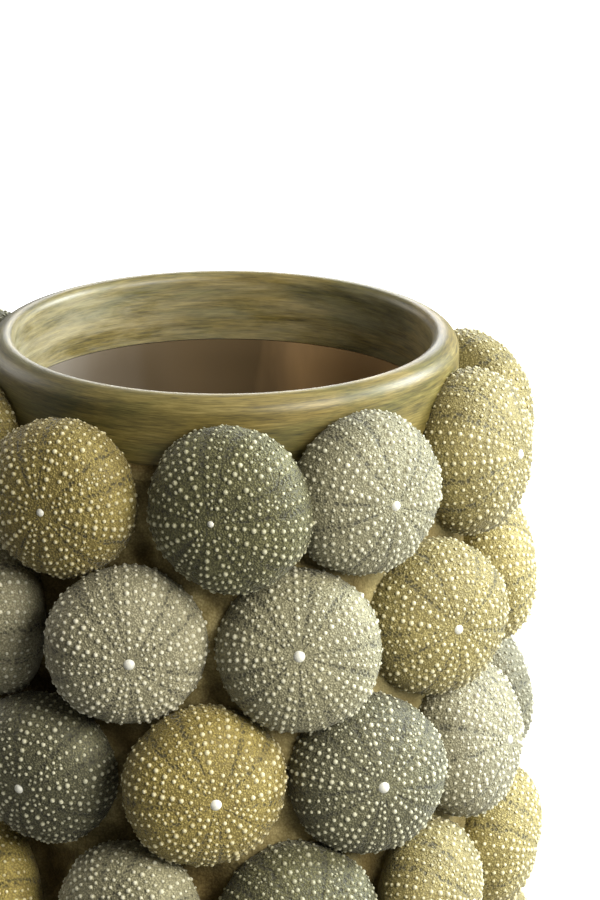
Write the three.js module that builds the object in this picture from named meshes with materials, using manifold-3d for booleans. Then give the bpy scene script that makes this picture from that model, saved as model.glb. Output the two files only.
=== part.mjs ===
// A wide-mouthed vase whose outside is set all over with sea-urchin tests in staggered rows.
// A resin pot carries a bed of mortar, the tests sit on the bed, and a painted collar with a
// rolled lip closes the top. Millimetres, +Z up, origin at the middle of the base, front at -Y.
import * as THREE from "three";
import { mergeVertices } from "three/addons/utils/BufferGeometryUtils.js";
import Module from "manifold-3d";

// Sea-urchin test
const TEST_WIDTH = 65.4; // across the widest part of an average test
const TEST_CROWN = 21; // from the widest part up to the apex
const TEST_ORAL = 17; // from the widest part down to the mouth side
const TEST_FULLNESS = 0.9; // 1 gives an ellipse, less a squarer shoulder
const BANDS = 5; // broad bands from the apex, with as many narrow ones between them
const BROAD_COLUMN = 10.5; // large beads run this many degrees each side of a broad band's middle
const NARROW_COLUMN = 5; // lesser beads run this many degrees each side of a narrow band's middle
const LARGE_BEAD_RISE = 1.25; // how far the columns of beads stand out
const LESSER_BEAD_RISE = 0.95;
const KNOB_WIDTH = 5.4; // knob on the apex
const KNOB_RISE = 2;

// How the tests are set
const ROWS = 5;
const TESTS_PER_ROW = 10;
const CROWDING = 1; // neighbours in the top row are set closer than their width by this
const ROW_GAP = 0.9; // between neighbours in two rows
const FLARE = 0.03; // outward slope of the wall, from the neck to the foot
const SEAT_DEPTH = 8.7; // the bed's face behind the widest part of a test
const FOOT_CLEARANCE = 2.3; // lowest test and lower edge of the bed above the table
const JOINT_GAP = 0.3; // glue line between pieces

// How far a test with no place of its own strays, and how fast that changes from test to test
const STRAY = {
  turn: { most: 0.8, pace: 2.4 },
  lift: { most: 0.6, pace: 1.7 },
  size: { most: 0.02, pace: 3.1 },
  yaw: { most: 9, pace: 4.3 },
  tip: { most: 7, pace: 5.2 },
  spin: { most: 36, pace: 1.9 },
};

// Pot and bed
const BED_THICKNESS = 6.3;
const POT_WALL = 4.4;
const POT_FLOOR = 8;
const FLOOR_FILLET = 12; // inside corner between wall and floor
const FOOT_CHAMFER = 1.5;

// Collar
const NECK_RISE = 42.6; // crest of the lip above the middle of the top row
const COLLAR_INSIDE = 28.3; // painted inner wall, from the crest down to the pot's rim
const COLLAR_LAP = 5; // how far the skirt reaches down past the pot's rim
const LIP_INNER_ROUND = 3.6;

// Fineness of the round forms
const TURN_SIDES = 40;
const ORAL_STEPS = 2; // from the mouth side to the widest part of a test
const CROWN_STEPS = 4; // from there to the apex
const ROUND_STEPS = 3;
const SMALLEST_STEP = 0.2; // kinks smaller than this, left by the cuts, are evened out

const FINISHES = {
  olive: { color: 0x7d7446, roughness: 0.35 },
  umber: { color: 0x5c4733, roughness: 0.25 },
  mortar: { color: 0x8b7b50, roughness: 0.95 },
  ochre: { color: 0x97854a, roughness: 0.6 },
  straw: { color: 0xc0ae68, roughness: 0.6 },
  sage: { color: 0x6c725c, roughness: 0.6 },
  stone: { color: 0x9c9e88, roughness: 0.6 },
  tan: { color: 0x938c72, roughness: 0.6 },
  dusk: { color: 0x68716c, roughness: 0.6 },
};

// The tests row by row from the neck down, each row from the front round to the right.
// turn and lift move a test off the even spacing, in degrees and mm; size is its share of the
// average width; yaw and tip lean its apex to the right and upwards, and spin turns it about its
// own axis, all in degrees.
const SETTING_PLAN = [
  {
    phase: 0,
    tests: [
      { glaze: "sage", turn: 2.1, lift: 0.5, size: 1.02, yaw: -23, tip: 1, spin: -15 },
      { glaze: "stone", turn: -3.3, lift: 1.9, size: 1, yaw: 3, tip: 0, spin: 2 },
      { glaze: "straw", turn: 1.2, lift: 1, size: 1.02, yaw: -8, tip: 4, spin: 18 },
      { glaze: "straw", turn: -0.6, lift: -0.2, size: 1, yaw: 21, tip: -1, spin: 5 },
      { glaze: "straw", lift: 3 },
      { glaze: "stone", turn: -1.5 },
      { glaze: "ochre", turn: -3 },
      { glaze: "dusk", turn: -6, lift: 6 },
      { glaze: "ochre" },
      { glaze: "ochre", turn: -1, lift: -1.2, size: 0.98, yaw: 14, tip: -1, spin: -2 },
    ],
  },
  {
    phase: 18,
    tests: [
      { glaze: "stone", turn: -1.3, lift: -0.8, size: 1, yaw: -16, tip: 12, spin: 31 },
      { glaze: "straw", turn: -1.6, lift: 0.6, size: 0.97, yaw: -23, tip: 1, spin: 11 },
      { glaze: "straw", turn: 0.9, lift: 0.8, size: 0.99, yaw: 6, tip: 4, spin: 10 },
      { glaze: "tan" },
      { glaze: "sage" },
      { glaze: "ochre" },
      { glaze: "stone" },
      { glaze: "dusk", turn: -2 },
      { glaze: "tan", turn: -2, lift: 0, size: 0.99, yaw: -24, tip: 0, spin: 30 },
      { glaze: "tan", turn: -2.7, lift: 0.8, size: 0.995, yaw: 25, tip: -4, spin: 8 },
    ],
  },
  {
    phase: -4,
    tests: [
      { glaze: "ochre", turn: 0.2, lift: 2.3, size: 1.005, yaw: 18, tip: -2, spin: 15 },
      { glaze: "dusk", turn: 0.1, lift: 1.5, size: 0.995, yaw: -13, tip: 3, spin: 15 },
      { glaze: "tan", turn: -3.7, lift: 0.4, size: 0.98, yaw: 0, tip: 6, spin: -14 },
      { glaze: "stone", turn: 0, lift: -2.4, size: 0.95, yaw: 4, tip: 12, spin: 0 },
      { glaze: "straw" },
      { glaze: "tan" },
      { glaze: "sage" },
      { glaze: "ochre" },
      { glaze: "straw" },
      { glaze: "dusk", turn: -1, lift: 1, size: 0.975, yaw: 11, tip: -10, spin: -1 },
    ],
  },
  {
    phase: 14,
    tests: [
      { glaze: "sage", turn: 1.8, lift: 1.2, size: 1.01, yaw: 3, tip: 9, spin: 24 },
      { glaze: "straw", turn: -2, lift: -0.3, size: 0.99, yaw: 22, tip: -1, spin: 19 },
      { glaze: "straw", turn: 0.2, lift: 0.2, size: 0.965, yaw: -5, tip: -10, spin: 31 },
      { glaze: "stone" },
      { glaze: "dusk" },
      { glaze: "tan" },
      { glaze: "straw" },
      { glaze: "stone" },
      { glaze: "ochre", turn: 1.8, lift: -3, size: 0.965, yaw: -18, tip: -3, spin: 3 },
      { glaze: "stone", turn: 2.8, lift: 0.9, size: 1, yaw: -15, tip: 4, spin: -19 },
    ],
  },
  {
    phase: -4,
    tests: [
      { glaze: "tan" },
      { glaze: "ochre" },
      { glaze: "stone" },
      { glaze: "straw" },
      { glaze: "sage" },
      { glaze: "dusk" },
      { glaze: "straw" },
      { glaze: "tan" },
      { glaze: "sage" },
      { glaze: "stone" },
    ],
  },
];

// Layout that follows from the sizes above
const QUARTER = Math.PI / 2;
const stepAngle = (2 * Math.PI) / TESTS_PER_ROW;
const topSettingRadius = (TEST_WIDTH - CROWDING) / (2 * Math.sin(stepAngle / 2));
const halfStepChord = 2 * topSettingRadius * Math.sin(stepAngle / 4);
const rowPitch = Math.sqrt((TEST_WIDTH + ROW_GAP) ** 2 - halfStepChord ** 2);
const topRowHeight = FOOT_CLEARANCE + TEST_WIDTH / 2 + (ROWS - 1) * rowPitch;
const crestHeight = topRowHeight + NECK_RISE;
const potRimHeight = crestHeight - COLLAR_INSIDE;
const skirtHeight = potRimHeight - COLLAR_LAP;
const bedTopHeight = skirtHeight - JOINT_GAP;

const settingRadius = (z) => topSettingRadius + FLARE * (topRowHeight - z);
const bedRadius = (z) => settingRadius(z) - SEAT_DEPTH;
const potRadius = (z) => bedRadius(z) - BED_THICKNESS;
const insideRadius = (z) => potRadius(z) - POT_WALL;

const collarInside = insideRadius(potRimHeight);
const collarOutside = bedRadius(skirtHeight);

const wasm = await Module();
wasm.setup();

// A closed geometry as a solid that can be cut and joined.
function solidOf(geometry) {
  const bare = geometry.clone();
  bare.deleteAttribute("normal");
  bare.deleteAttribute("uv");
  const merged = mergeVertices(bare);
  const corners = merged.index.array;
  const triangles = [];
  for (let i = 0; i < corners.length; i += 3) {
    const [a, b, c] = corners.subarray(i, i + 3);
    if (a !== b && b !== c && c !== a) triangles.push(a, b, c);
  }
  return new wasm.Manifold(
    new wasm.Mesh({
      numProp: 3,
      vertProperties: merged.attributes.position.array,
      triVerts: new Uint32Array(triangles),
    }),
  );
}

function geometryOf(solid) {
  const mesh = solid.getMesh();
  const geometry = new THREE.BufferGeometry();
  geometry.setAttribute("position", new THREE.BufferAttribute(mesh.vertProperties, 3));
  geometry.setIndex(new THREE.BufferAttribute(mesh.triVerts, 1));
  geometry.computeVertexNormals();
  return geometry;
}

// Revolves a profile of [radius, height] points about +Z.
function turned(profile, sides = TURN_SIDES) {
  const points = profile.map(([radius, height]) => new THREE.Vector2(radius, height));
  return new THREE.LatheGeometry(points, sides).rotateX(Math.PI / 2);
}

// Points of a quarter round about a centre, between two angles in degrees.
function roundPoints(centreRadius, centreHeight, round, from, to) {
  const points = [];
  for (let k = 0; k <= ROUND_STEPS; k++) {
    const angle = THREE.MathUtils.degToRad(from + ((to - from) * k) / ROUND_STEPS);
    points.push([centreRadius + round * Math.cos(angle), centreHeight + round * Math.sin(angle)]);
  }
  return points;
}

function piece(name, geometry, finish) {
  const { color, roughness } = FINISHES[finish];
  const material = new THREE.MeshStandardMaterial({ color, roughness, metalness: 0 });
  const mesh = new THREE.Mesh(geometry, material);
  mesh.name = name;
  return mesh;
}

// Pot: a round resin vessel, a little wider at the foot, that holds the water.
function pot() {
  const rim = potRimHeight - JOINT_GAP;
  const filletHeight = POT_FLOOR + FLOOR_FILLET;
  const filletRadius = insideRadius(filletHeight) - FLOOR_FILLET;
  const profile = [
    [0, 0],
    [potRadius(0) - FOOT_CHAMFER, 0],
    [potRadius(FOOT_CHAMFER), FOOT_CHAMFER],
    [potRadius(rim), rim],
    [insideRadius(rim), rim],
    ...roundPoints(filletRadius, filletHeight, FLOOR_FILLET, 0, -90),
    [0, POT_FLOOR],
  ];
  return piece("pot", turned(profile), "umber");
}

// Bed: mortar round the pot, up to the lower edge of the collar.
function mortarBed() {
  const foot = FOOT_CLEARANCE;
  const profile = [
    [potRadius(foot) + JOINT_GAP, foot],
    [bedRadius(foot), foot],
    [bedRadius(bedTopHeight), bedTopHeight],
    [potRadius(bedTopHeight) + JOINT_GAP, bedTopHeight],
  ];
  return piece("mortar_bed", turned([...profile, profile[0]]), "mortar");
}

// Collar: sits on the pot's rim, laps over it outside flush with the bed, and ends in a rolled lip.
function neckCollar() {
  const lipOuterRound = collarOutside - collarInside - LIP_INNER_ROUND;
  const crestRadius = collarInside + LIP_INNER_ROUND;
  const profile = [
    [collarInside, potRimHeight],
    [potRadius(potRimHeight) + JOINT_GAP, potRimHeight],
    [potRadius(skirtHeight) + JOINT_GAP, skirtHeight],
    [collarOutside, skirtHeight],
    ...roundPoints(crestRadius, crestHeight - lipOuterRound, lipOuterRound, 0, 90),
    ...roundPoints(crestRadius, crestHeight - LIP_INNER_ROUND, LIP_INNER_ROUND, 90, 180).slice(1),
  ];
  return piece("neck_collar", turned([...profile, profile[0]]), "olive");
}

// Everything that stands behind the tests, with the glue line added, as one cutting form.
function backing() {
  const below = -TEST_WIDTH;
  const above = crestHeight + TEST_WIDTH;
  return turned([
    [0, below],
    [bedRadius(below) + JOINT_GAP, below],
    [collarOutside + JOINT_GAP, skirtHeight],
    [collarOutside + JOINT_GAP, above],
    [0, above],
  ]);
}

// Radius and height on a test's outline at an angle above the widest part, or below it if negative.
function meridianPoint(angle) {
  const rise = Math.sin(angle);
  const reach = rise > 0 ? TEST_CROWN : TEST_ORAL;
  return [
    (TEST_WIDTH / 2) * Math.cos(angle) ** TEST_FULLNESS,
    Math.sign(rise) * reach * Math.abs(rise) ** TEST_FULLNESS,
  ];
}

// Test: a flattened globe with a knob on its apex, which points along +Z. Its edges run along the
// columns of beads and stand out from the bands between them, most of all on the shoulder.
function urchinForm() {
  const sector = 360 / BANDS;
  const columns = [
    { angle: BROAD_COLUMN, rise: LARGE_BEAD_RISE },
    { angle: sector / 2 - NARROW_COLUMN, rise: LESSER_BEAD_RISE },
    { angle: sector / 2 + NARROW_COLUMN, rise: LESSER_BEAD_RISE },
    { angle: sector - BROAD_COLUMN, rise: LARGE_BEAD_RISE },
  ];
  const sides = BANDS * columns.length;
  const profile = [[0, -TEST_ORAL]];
  for (let k = 1; k < ORAL_STEPS; k++) profile.push(meridianPoint((k / ORAL_STEPS - 1) * QUARTER));
  for (let k = 0; k < CROWN_STEPS; k++) profile.push(meridianPoint((k / CROWN_STEPS) * QUARTER));
  profile.push([KNOB_WIDTH / 2, TEST_CROWN], [0, TEST_CROWN + KNOB_RISE]);
  const globe = turned(profile, sides);
  const places = globe.attributes.position;
  for (let i = 0; i < places.count; i++) {
    const ring = i % profile.length;
    const side = Math.floor(i / profile.length) % sides;
    const { angle, rise } = columns[side % columns.length];
    const around = THREE.MathUtils.degToRad(sector * Math.floor(side / columns.length) + angle);
    const [radius, height] = profile[ring];
    const place = new THREE.Vector3(radius * Math.cos(around), radius * Math.sin(around), height);
    const climb = Math.asin(THREE.MathUtils.clamp(height / TEST_CROWN, 0, 1));
    place.setLength(place.length() + rise * Math.sin(2 * climb));
    places.setXYZ(i, place.x, place.y, place.z);
  }
  return globe;
}

const stray = (kind, number) => STRAY[kind].most * Math.sin(STRAY[kind].pace * number);

// Where a test is set: on the setting circle of its row, apex outwards.
function placeOf(row, index) {
  const number = row * TESTS_PER_ROW + index + 1;
  const { phase, tests } = SETTING_PLAN[row % SETTING_PLAN.length];
  const {
    turn = stray("turn", number),
    lift = stray("lift", number),
    size = 1 - STRAY.size.most + stray("size", number),
    yaw = stray("yaw", number),
    tip = stray("tip", number),
    spin = stray("spin", number),
  } = tests[index % tests.length];
  const { degToRad } = THREE.MathUtils;
  const azimuth = degToRad(phase + turn) + index * stepAngle;
  const height = topRowHeight - row * rowPitch + lift;
  const place = new THREE.Object3D();
  place.position.set(Math.sin(azimuth), -Math.cos(azimuth), 0);
  place.position.multiplyScalar(settingRadius(height)).setZ(height);
  place.rotation.set(Math.PI / 2 - degToRad(tip), 0, azimuth + degToRad(yaw), "ZXY");
  place.rotateZ(degToRad(spin));
  place.scale.setScalar(size);
  place.updateMatrix();
  return place;
}

// A test set in its place: ground to the face of the bed, and to a flat joint with each neighbour.
function setTest(form, back, place, others) {
  let test = solidOf(form.clone().applyMatrix4(place.matrix)).subtract(back);
  for (const other of others) {
    const apart = new THREE.Vector3().subVectors(place.position, other.position);
    const distance = apart.length();
    if (distance === 0) continue;
    apart.normalize();
    const ownShare = place.scale.x / (place.scale.x + other.scale.x);
    const joint = place.position.dot(apart) - distance * ownShare + JOINT_GAP / 2;
    test = test.trimByPlane(apart.toArray(), joint);
  }
  return geometryOf(test.simplify(SMALLEST_STEP)).applyMatrix4(place.matrix.clone().invert());
}

// Tests, row by row from the neck down.
function urchinRows() {
  const form = urchinForm();
  const back = solidOf(backing());
  const rows = new THREE.Group();
  const places = [];
  for (let row = 0; row < ROWS; row++) {
    for (let index = 0; index < TESTS_PER_ROW; index++) places.push(placeOf(row, index));
  }
  places.forEach((place, number) => {
    const row = Math.floor(number / TESTS_PER_ROW);
    const index = number % TESTS_PER_ROW;
    const { tests } = SETTING_PLAN[row % SETTING_PLAN.length];
    const name = `urchin_row${row + 1}_${String(index + 1).padStart(2, "0")}`;
    const shape = setTest(form, back, place, places);
    const mesh = piece(name, shape, tests[index % tests.length].glaze);
    mesh.position.copy(place.position);
    mesh.quaternion.copy(place.quaternion);
    mesh.scale.copy(place.scale);
    rows.add(mesh);
  });
  return rows;
}

const vase = new THREE.Group();
vase.add(pot(), mortarBed(), neckCollar(), urchinRows());

export default vase;
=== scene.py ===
import math

import bpy
import numpy as np
from mathutils import Euler, Matrix, Vector


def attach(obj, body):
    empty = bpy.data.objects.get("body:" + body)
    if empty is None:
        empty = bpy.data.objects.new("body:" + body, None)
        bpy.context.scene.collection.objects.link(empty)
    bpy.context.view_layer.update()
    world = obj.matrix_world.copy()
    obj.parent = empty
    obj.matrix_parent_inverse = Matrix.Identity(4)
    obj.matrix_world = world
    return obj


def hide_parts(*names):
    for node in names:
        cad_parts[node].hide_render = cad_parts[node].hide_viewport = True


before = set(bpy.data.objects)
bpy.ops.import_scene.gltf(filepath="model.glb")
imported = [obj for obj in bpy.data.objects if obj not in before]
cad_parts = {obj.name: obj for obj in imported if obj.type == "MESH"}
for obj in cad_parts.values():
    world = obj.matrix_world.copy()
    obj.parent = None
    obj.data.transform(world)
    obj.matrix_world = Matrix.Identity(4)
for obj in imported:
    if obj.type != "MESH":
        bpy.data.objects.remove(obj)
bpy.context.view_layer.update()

# Camera: a long lens a few steps back and a little above the vase, looking down into its mouth.
# The frame cuts the vase off at the left and below.
FOCAL_LENGTH = 258.03
SENSOR_WIDTH = 36
CAMERA_PLACE = (0.0309, -2.5, 1.0438)
DEGREES_DOWN = 17.45

camera_lens = bpy.data.cameras.new("camera")
camera_lens.lens = FOCAL_LENGTH
camera_lens.sensor_width = SENSOR_WIDTH
camera_lens.clip_end = 60
camera = bpy.data.objects.new("camera", camera_lens)
camera.location = CAMERA_PLACE
camera.rotation_euler = (math.radians(90 - DEGREES_DOWN), 0, 0)
bpy.context.collection.objects.link(camera)
bpy.context.scene.camera = camera
bpy.context.scene.view_settings.view_transform = "Standard"

# Studio: a white floor under white surroundings. A large soft light stands in front on the right,
# another behind on the right brightens that edge, a weak one hangs overhead, a lit backdrop shines
# on the crest of the lip, and a faint warm one fills the shade behind on the left.
AIM = Vector((0, 0, 0.22))
FLOOR_SIDE = 14


def soft_light(name, azimuth, elevation, away, size, watts, colour):
    """A round soft light aimed at the vase, its azimuth taken from the front round to the right."""
    data = bpy.data.lights.new(name, "AREA")
    data.shape = "DISK"
    data.size = size
    data.energy = watts
    data.color = colour
    light = bpy.data.objects.new(name, data)
    turn, rise = math.radians(azimuth), math.radians(elevation)
    direction = Vector((math.sin(turn) * math.cos(rise), -math.cos(turn) * math.cos(rise), math.sin(rise)))
    light.location = AIM + away * direction
    light.rotation_euler = direction.to_track_quat("Z", "Y").to_euler()
    bpy.context.collection.objects.link(light)


soft_light("key_right", azimuth=46, elevation=25, away=1.7, size=1.1, watts=53, colour=(1, 0.98, 0.92))
soft_light("edge_right", azimuth=104, elevation=24, away=2.0, size=1.0, watts=108, colour=(0.84, 0.93, 1))
soft_light("overhead", azimuth=60, elevation=80, away=2.0, size=1.1, watts=7, colour=(1, 0.99, 0.96))
soft_light("backdrop", azimuth=176, elevation=22, away=2.2, size=0.9, watts=20, colour=(1, 1, 1))
soft_light("fill_rear_left", azimuth=238, elevation=18, away=2.2, size=1.4, watts=22, colour=(1, 0.95, 0.84))


def set_values(node, values):
    """Sets a node's inputs, given by name or number."""
    for key, value in values.items():
        node.inputs[key].default_value = value


def add_node(tree, kind, values=None, **settings):
    """A new node of a kind, with its settings and the values of its inputs."""
    node = tree.nodes.new(kind)
    for key, value in settings.items():
        setattr(node, key, value)
    set_values(node, values or {})
    return node


def new_material(name):
    """A new material and its surface node."""
    material = bpy.data.materials.new(name)
    material.use_nodes = True
    return material, material.node_tree.nodes["Principled BSDF"]


surroundings = bpy.data.worlds.new("white_studio")
surroundings.use_nodes = True
sky = surroundings.node_tree
sky.nodes.clear()
sky_ray = add_node(sky, "ShaderNodeLightPath")


def background(strength, colour):
    """Surroundings of one strength and colour."""
    return add_node(sky, "ShaderNodeBackground", {"Color": (*colour, 1), "Strength": strength}).outputs[0]


def pick(ray_kind, otherwise, chosen):
    """Surroundings chosen for one kind of ray, with others for all the rest."""
    node = add_node(sky, "ShaderNodeMixShader")
    sky.links.new(sky_ray.outputs[ray_kind], node.inputs[0])
    sky.links.new(otherwise, node.inputs[1])
    sky.links.new(chosen, node.inputs[2])
    return node.outputs[0]


ambient = background(0.085, (1, 0.95, 0.82))
mirrored = background(0.55, (1, 1, 1))
seen = background(1.0, (1, 1, 1))
unseen = pick("Is Glossy Ray", ambient, mirrored)
sky_out = add_node(sky, "ShaderNodeOutputWorld")
sky.links.new(pick("Is Camera Ray", unseen, seen), sky_out.inputs["Surface"])
bpy.context.scene.world = surroundings

bpy.ops.object.select_all(action="DESELECT")
bpy.ops.mesh.primitive_plane_add(size=FLOOR_SIDE)
floor = bpy.context.object
floor.name = "floor"
floor_white, shader = new_material("floor_white")
tree = floor_white.node_tree
set_values(shader, {"Roughness": 0.9, "Emission Color": (1, 1, 1, 1)})
floor_ray = add_node(tree, "ShaderNodeLightPath")
floor_greys = {"Color1": (0.2, 0.2, 0.2, 1), "Color2": (0.8, 0.8, 0.79, 1)}
floor_tone = add_node(tree, "ShaderNodeMixRGB", floor_greys)
where = add_node(tree, "ShaderNodeTexCoord")
from_vase = add_node(tree, "ShaderNodeVectorMath", operation="LENGTH")
sweep = add_node(tree, "ShaderNodeMapRange", {"From Min": 0.4, "From Max": 2.2, "To Min": 0.55})
floor_glow = add_node(tree, "ShaderNodeMath", operation="MULTIPLY")
tree.links.new(floor_ray.outputs["Is Camera Ray"], floor_tone.inputs["Fac"])
tree.links.new(floor_ray.outputs["Is Camera Ray"], floor_glow.inputs[0])
tree.links.new(where.outputs["Object"], from_vase.inputs[0])
tree.links.new(from_vase.outputs["Value"], sweep.inputs["Value"])
tree.links.new(sweep.outputs[0], floor_glow.inputs[1])
tree.links.new(floor_tone.outputs["Color"], shader.inputs["Base Color"])
tree.links.new(floor_glow.outputs[0], shader.inputs["Emission Strength"])
floor.data.materials.append(floor_white)

# Pot: the inner vessel, turned in glossy brown resin, a little wider at the foot. It carries the
# mortar and the collar, and the backs of the tests show through its wall as soft upright hollows.
MM = 0.001
TEST_WIDTH = 65.4 * MM
TESTS_PER_ROW = 10
CROWDING = 1 * MM
ROW_GAP = 0.9 * MM
ROWS = 5
FLARE = 0.03
SEAT_DEPTH = 8.7 * MM
FOOT_CLEARANCE = 2.3 * MM
BED_THICKNESS = 6.3 * MM
JOINT_GAP = 0.3 * MM
POT_WALL = 4.4 * MM
POT_FLOOR = 8 * MM
FLOOR_FILLET = 12 * MM
FOOT_CHAMFER = 1.5 * MM
NECK_RISE = 42.6 * MM
COLLAR_INSIDE = 28.3 * MM
HOLLOW_DEPTH = 1.6 * MM
HOLLOW_ROUNDNESS = 0.4
HOLLOW_FADE = 14 * MM
WALL_TOLERANCE = 0.2 * MM
LEAST_RADIUS = 1 * MM

step_angle = 2 * math.pi / TESTS_PER_ROW
top_setting_radius = (TEST_WIDTH - CROWDING) / (2 * math.sin(step_angle / 2))
half_step_chord = 2 * top_setting_radius * math.sin(step_angle / 4)
row_pitch = math.sqrt((TEST_WIDTH + ROW_GAP) ** 2 - half_step_chord**2)
top_row_height = FOOT_CLEARANCE + TEST_WIDTH / 2 + (ROWS - 1) * row_pitch
crest_height = top_row_height + NECK_RISE
pot_rim_height = crest_height - COLLAR_INSIDE


def setting_radius(z):
    return top_setting_radius + FLARE * (top_row_height - z)


def bed_radius(z):
    return setting_radius(z) - SEAT_DEPTH


def pot_radius(z):
    return bed_radius(z) - BED_THICKNESS


def inside_radius(z):
    return pot_radius(z) - POT_WALL


def arc(centre, radius, start, end, steps):
    """Points of a round stretch of a profile, from one angle to another in degrees."""
    angles = np.radians(np.linspace(start, end, steps + 1))
    return [(centre[0] + radius * math.cos(a), centre[1] + radius * math.sin(a)) for a in angles]


def stretch(start, end, steps):
    """Points of a straight stretch of a profile."""
    return [tuple(p) for p in np.linspace(start, end, steps + 1)]


def turned(name, profile, sides):
    """Extrudes a point along a profile of (radius, height) and spins it about the axis."""
    bpy.ops.object.select_all(action="DESELECT")
    bpy.ops.mesh.primitive_plane_add(size=0.01)
    piece = bpy.context.object
    piece.name = piece.data.name = name
    bpy.ops.object.mode_set(mode="EDIT")
    bpy.ops.mesh.select_all(action="SELECT")
    bpy.ops.mesh.merge(type="CENTER")
    bpy.ops.transform.translate(value=(profile[0][0], 0, profile[0][1]))
    for (r0, z0), (r1, z1) in zip(profile, profile[1:]):
        bpy.ops.mesh.extrude_region_move(TRANSFORM_OT_translate={"value": (r1 - r0, 0, z1 - z0)})
    bpy.ops.mesh.select_all(action="SELECT")
    bpy.ops.mesh.spin(steps=sides, angle=2 * math.pi, center=(0, 0, 0), axis=(0, 0, 1))
    bpy.ops.mesh.select_all(action="SELECT")
    bpy.ops.mesh.remove_doubles(threshold=1e-6)
    bpy.ops.mesh.normals_make_consistent(inside=False)
    bpy.ops.object.mode_set(mode="OBJECT")
    return piece


def corners(mesh):
    """Places of a mesh's corners, one row each."""
    places = np.empty(len(mesh.vertices) * 3)
    mesh.vertices.foreach_get("co", places)
    return places.reshape(-1, 3)


def set_corners(mesh, places):
    """Moves a mesh's corners to new places."""
    mesh.vertices.foreach_set("co", places.ravel())
    mesh.update()


def push_outward(places, lengths):
    """Moves places away from the vase's axis by the given lengths."""
    radius = np.hypot(places[:, 0], places[:, 1])
    places[:, :2] *= (1 + lengths / np.maximum(radius, LEAST_RADIUS))[:, None]


def colour_ramp(tree, *stops):
    """A node that turns a value into a colour, from stops of (value, colour)."""
    node = add_node(tree, "ShaderNodeValToRGB")
    elements = node.color_ramp.elements
    while len(elements) < len(stops):
        elements.new(0.5)
    for element, (position, colour) in zip(elements, stops):
        element.position = position
        element.color = (*colour, 1)
    return node


fillet_height = POT_FLOOR + FLOOR_FILLET
fillet_radius = inside_radius(fillet_height) - FLOOR_FILLET
pot_rim = pot_rim_height - JOINT_GAP
wall_top = (inside_radius(pot_rim), pot_rim)
wall_foot = (inside_radius(fillet_height), fillet_height)
pot_profile = [(0, 0), (pot_radius(0) - FOOT_CHAMFER, 0), (pot_radius(FOOT_CHAMFER), FOOT_CHAMFER)]
pot_profile += [(pot_radius(pot_rim), pot_rim)]
pot_profile += stretch(wall_top, wall_foot, steps=60)
pot_profile += arc((fillet_radius, fillet_height), FLOOR_FILLET, 0, -90, steps=6)[1:]
pot_profile += [(0, POT_FLOOR)]
pot = turned("pot_inner_vessel", pot_profile, sides=180)
places = corners(pot.data)
radius = np.hypot(places[:, 0], places[:, 1])
around = np.arctan2(places[:, 0], -places[:, 1])
height = places[:, 2]
wall = (np.abs(radius - inside_radius(height)) < WALL_TOLERANCE) & (height > fillet_height)
row_place = (top_row_height - height) / row_pitch
nearest_row = np.round(row_place)
row_shift = 0.5 * (nearest_row % 2) * step_angle
hollow = (np.cos((around - row_shift) * TESTS_PER_ROW) * 0.5 + 0.5) ** HOLLOW_ROUNDNESS
hollow *= np.cos((row_place - nearest_row) * math.pi) ** 2
below_rim = np.clip((pot_rim - height) / HOLLOW_FADE, 0, 1)
push_outward(places, np.where(wall, HOLLOW_DEPTH * hollow * below_rim, 0))
set_corners(pot.data, places)
bpy.ops.object.shade_smooth_by_angle(angle=math.radians(40))

umber, shader = new_material("umber_resin")
tree = umber.node_tree
where = add_node(tree, "ShaderNodeTexCoord")
# Painted light: the brown turns paler and greyer on the left as a painted sheen, and brighter and warmer on
# the far right as painted light; its upright streaks are painted reflections in the glossy wall, mixed with
# the resin's own mottling.
drawn_out = add_node(tree, "ShaderNodeMapping", {"Scale": (2.4, 2.4, 0.5)})
mottle_and_reflection = add_node(tree, "ShaderNodeTexNoise", {"Scale": 16, "Detail": 4})
sideways = add_node(tree, "ShaderNodeSeparateXYZ")
painted_light_right = add_node(tree, "ShaderNodeMapRange", {"From Min": -0.07, "From Max": 0.07})
mottle_reflection_and_light = add_node(tree, "ShaderNodeMath", {1: 0.4}, operation="MULTIPLY_ADD")
tones = colour_ramp(
    tree,
    (0.2, (0.155, 0.133, 0.105)),
    (0.5, (0.1, 0.073, 0.042)),
    (0.8, (0.12, 0.081, 0.04)),
    (1.0, (0.45, 0.28, 0.13)),
)
tree.links.new(where.outputs["Object"], drawn_out.inputs["Vector"])
tree.links.new(drawn_out.outputs[0], mottle_and_reflection.inputs["Vector"])
tree.links.new(where.outputs["Object"], sideways.inputs[0])
tree.links.new(sideways.outputs["X"], painted_light_right.inputs["Value"])
tree.links.new(mottle_and_reflection.outputs["Fac"], mottle_reflection_and_light.inputs[0])
tree.links.new(painted_light_right.outputs[0], mottle_reflection_and_light.inputs[2])
tree.links.new(mottle_reflection_and_light.outputs[0], tones.inputs["Fac"])
tree.links.new(tones.outputs["Color"], shader.inputs["Base Color"])
set_values(shader, {"Roughness": 0.3, "Coat Weight": 0.6, "Coat Roughness": 0.16})
pot.data.materials.append(umber)
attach(pot, "root")
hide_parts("pot")

# Mortar bed: sandy mortar trowelled round the pot, pressed up in a fillet against every test and
# smeared on the lower edge of the collar. Rough, with open grain.
TEST_CROWN = 21 * MM
TEST_ORAL = 17 * MM
COLLAR_LAP = 5 * MM
BED_SMEAR = 5 * MM
SMEAR_THICKNESS = 0.5 * MM
SMEAR_OVERLAP = 0.2 * MM
FILLET_RISE = 3.6 * MM
FILLET_REACH = 4 * MM
MOST_CROWD = 1.5
MEAN_TEST_RADIUS = 0.7 * TEST_WIDTH / 2
MORTAR_SEED = 11
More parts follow.
